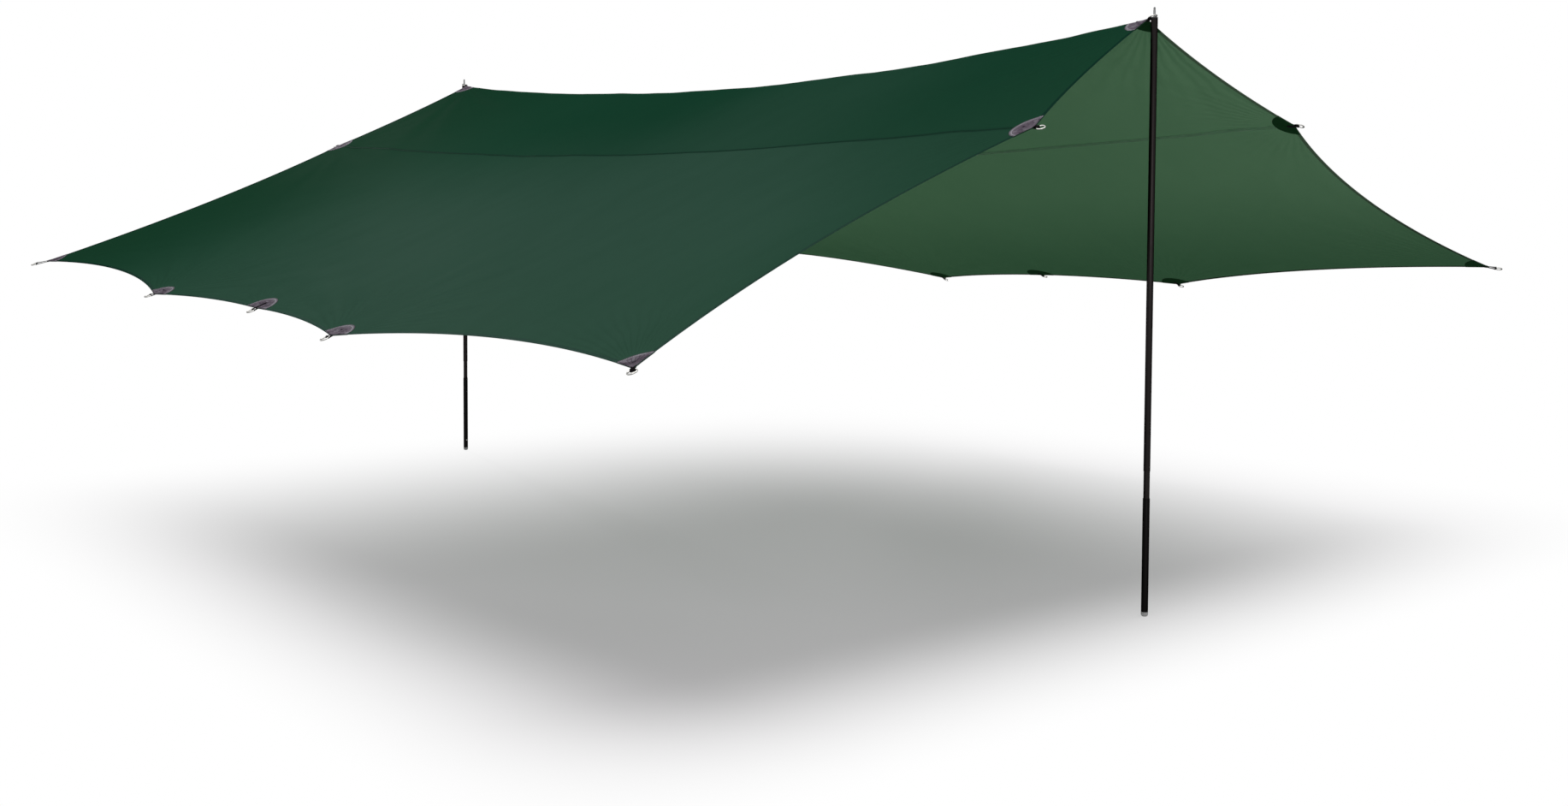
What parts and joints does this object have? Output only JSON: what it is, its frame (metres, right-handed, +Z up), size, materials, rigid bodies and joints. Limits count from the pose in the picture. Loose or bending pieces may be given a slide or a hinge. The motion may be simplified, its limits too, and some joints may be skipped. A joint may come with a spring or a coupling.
{
  "type": "camping tarp",
  "caption": "Square camping tarp pitched as a ridge over telescopic poles, with reinforced webbing tabs and steel rings round its hem.",
  "frame": {"origin": "on the ground, midway between the feet of the poles, the point the pitched shelter is placed by", "axes": "+Z up, +Y along the ridge from the front pole to the back pole, +X to the right side of the cloth seen from the front"},
  "size_m": [4.1613, 4.5378, 1.89],
  "materials": {
    "cloth": "plain woven polyester, dark green, semi-matte coating",
    "seam_tape": "thin sealing film",
    "patch_and_webbing": "grey reinforcement cloth with black webbing",
    "steel": "bright zinc-plated wire and pins",
    "grey_tube": "dark grey, satin",
    "black_tube": "black powder coat",
    "black_plastic": "moulded",
    "foot_plastic": "moulded, light grey"
  },
  "bodies": {
    "canopy": {"canopy_panel_centre": "cloth", "canopy_panel_left": "cloth", "canopy_panel_right": "cloth", "ring_ridge_back": "steel", "ring_ridge_front": "steel", "seam_tape_left": "seam_tape", "seam_tape_right": "seam_tape", "tab_corner_back_left": "patch_and_webbing", "tab_corner_back_right": "patch_and_webbing", "tab_corner_front_left": "patch_and_webbing", "tab_corner_front_right": "patch_and_webbing", "tab_gable_back_left": "patch_and_webbing", "tab_gable_back_right": "patch_and_webbing", "tab_gable_front_left": "patch_and_webbing", "tab_gable_front_right": "patch_and_webbing", "tab_ridge_back": "patch_and_webbing", "tab_ridge_front": "patch_and_webbing", "tab_side_back_left": "patch_and_webbing", "tab_side_back_right": "patch_and_webbing", "tab_side_front_left": "patch_and_webbing", "tab_side_front_right": "patch_and_webbing", "tab_side_middle_left": "patch_and_webbing", "tab_side_middle_right": "patch_and_webbing"},
    "ring_corner_back_left": {"ring_corner_back_left": "steel"},
    "ring_corner_back_right": {"ring_corner_back_right": "steel"},
    "ring_corner_front_left": {"ring_corner_front_left": "steel"},
    "ring_corner_front_right": {"ring_corner_front_right": "steel"},
    "ring_gable_back_left": {"ring_gable_back_left": "steel"},
    "ring_gable_back_right": {"ring_gable_back_right": "steel"},
    "ring_gable_front_left": {"ring_gable_front_left": "steel"},
    "ring_gable_front_right": {"ring_gable_front_right": "steel"},
    "ring_side_back_left": {"ring_side_back_left": "steel"},
    "ring_side_back_right": {"ring_side_back_right": "steel"},
    "ring_side_front_left": {"ring_side_front_left": "steel"},
    "ring_side_front_right": {"ring_side_front_right": "steel"},
    "ring_side_middle_left": {"ring_side_middle_left": "steel"},
    "ring_side_middle_right": {"ring_side_middle_right": "steel"},
    "pole_front": {"pole_main_tube_front": "grey_tube", "pole_top_cap_front": "black_plastic", "pole_spike_front": "steel"},
    "lock_front": {"pole_lock_sleeve_front": "black_plastic"},
    "foot_front": {"pole_slide_tube_front": "grey_tube", "pole_lock_screw_front": "steel", "pole_lower_tube_front": "black_tube", "pole_foot_cap_front": "foot_plastic", "pole_foot_rivet_front": "steel"},
    "pole_back": {"pole_main_tube_back": "grey_tube", "pole_top_cap_back": "black_plastic", "pole_spike_back": "steel"},
    "lock_back": {"pole_lock_sleeve_back": "black_plastic"},
    "foot_back": {"pole_slide_tube_back": "grey_tube", "pole_lock_screw_back": "steel", "pole_lower_tube_back": "black_tube", "pole_foot_cap_back": "foot_plastic", "pole_foot_rivet_back": "steel"}
  },
  "joints": [
    {"name": "ring_corner_back_left_swing", "type": "hinge", "parent": "canopy", "child": "ring_corner_back_left", "pos_m": [-2.02766, 2.25618, 0.99525], "axis": [-0.685, -0.6677, -0.2915], "range_deg": [-150, 150]},
    {"name": "ring_corner_back_right_swing", "type": "hinge", "parent": "canopy", "child": "ring_corner_back_right", "pos_m": [2.00234, 2.22644, 0.98289], "axis": [-0.6785, 0.6657, 0.3106], "range_deg": [-150, 150]},
    {"name": "ring_corner_front_left_swing", "type": "hinge", "parent": "canopy", "child": "ring_corner_front_left", "pos_m": [-2.00226, -2.22635, 0.90738], "axis": [0.6736, -0.6783, 0.2935], "range_deg": [-150, 150]},
    {"name": "ring_corner_front_right_swing", "type": "hinge", "parent": "canopy", "child": "ring_corner_front_right", "pos_m": [2.01133, -2.237, 1.04386], "axis": [0.6898, 0.6574, -0.3033], "range_deg": [-150, 150]},
    {"name": "ring_gable_back_left_swing", "type": "hinge", "parent": "canopy", "child": "ring_gable_back_left", "pos_m": [-0.64227, 2.23496, 1.53853], "axis": [-0.9133, 0.0478, -0.4045], "range_deg": [-150, 150]},
    {"name": "ring_gable_back_right_swing", "type": "hinge", "parent": "canopy", "child": "ring_gable_back_right", "pos_m": [0.64227, 2.23497, 1.53361], "axis": [-0.9097, -0.0507, 0.4122], "range_deg": [-150, 150]},
    {"name": "ring_gable_front_left_swing", "type": "hinge", "parent": "canopy", "child": "ring_gable_front_left", "pos_m": [-0.64227, -2.23494, 1.49916], "axis": [0.8967, 0.0283, 0.4417], "range_deg": [-150, 150]},
    {"name": "ring_gable_front_right_swing", "type": "hinge", "parent": "canopy", "child": "ring_gable_front_right", "pos_m": [0.64227, -2.23495, 1.54433], "axis": [0.919, -0.0411, -0.3922], "range_deg": [-150, 150]},
    {"name": "ring_side_back_left_swing", "type": "hinge", "parent": "canopy", "child": "ring_side_back_left", "pos_m": [-2.05758, 0.74342, 0.93415], "axis": [-0.0275, -0.9982, -0.0539], "range_deg": [-150, 150]},
    {"name": "ring_side_back_right_swing", "type": "hinge", "parent": "canopy", "child": "ring_side_back_right", "pos_m": [2.05676, 0.74338, 0.8792], "axis": [-0.0282, 0.9992, 0.0281], "range_deg": [-150, 150]},
    {"name": "ring_side_front_left_swing", "type": "hinge", "parent": "canopy", "child": "ring_side_front_left", "pos_m": [-2.05728, -0.7434, 0.88329], "axis": [0.0387, -0.9992, 0.012], "range_deg": [-150, 150]},
    {"name": "ring_side_front_right_swing", "type": "hinge", "parent": "canopy", "child": "ring_side_front_right", "pos_m": [2.057, -0.74339, 0.91166], "axis": [0.0177, 0.9984, -0.0535], "range_deg": [-150, 150]},
    {"name": "ring_side_middle_left_swing", "type": "hinge", "parent": "canopy", "child": "ring_side_middle_left", "pos_m": [-1.97795, 0, 0.9192], "axis": [0.0115, -0.9995, -0.0282], "range_deg": [-150, 150]},
    {"name": "ring_side_middle_right_swing", "type": "hinge", "parent": "canopy", "child": "ring_side_middle_right", "pos_m": [1.97803, 0, 0.92631], "axis": [-0.007, 0.9998, -0.0183], "range_deg": [-150, 150]},
    {"name": "pole_front_tilt", "type": "hinge", "parent": "canopy", "child": "pole_front", "pos_m": [0, -2.139, 1.859], "axis": [-1, 0, 0], "range_deg": [0, 15]},
    {"name": "pole_front_shorten", "type": "slide", "parent": "pole_front", "child": "lock_front", "axis": [0, 0, 1], "range_m": [0, 0.0845]},
    {"name": "pole_front_twist_lock", "type": "hinge", "parent": "lock_front", "child": "foot_front", "pos_m": [0, -2.139, 0], "axis": [0, 0, 1], "range_deg": [0, 180]},
    {"name": "pole_back_tilt", "type": "hinge", "parent": "canopy", "child": "pole_back", "pos_m": [0, 2.139, 1.859], "axis": [1, 0, 0], "range_deg": [0, 15]},
    {"name": "pole_back_shorten", "type": "slide", "parent": "pole_back", "child": "lock_back", "axis": [0, 0, 1], "range_m": [0, 0.0845]},
    {"name": "pole_back_twist_lock", "type": "hinge", "parent": "lock_back", "child": "foot_back", "pos_m": [0, 2.139, 0], "axis": [0, 0, 1], "range_deg": [0, 180]}
  ]
}
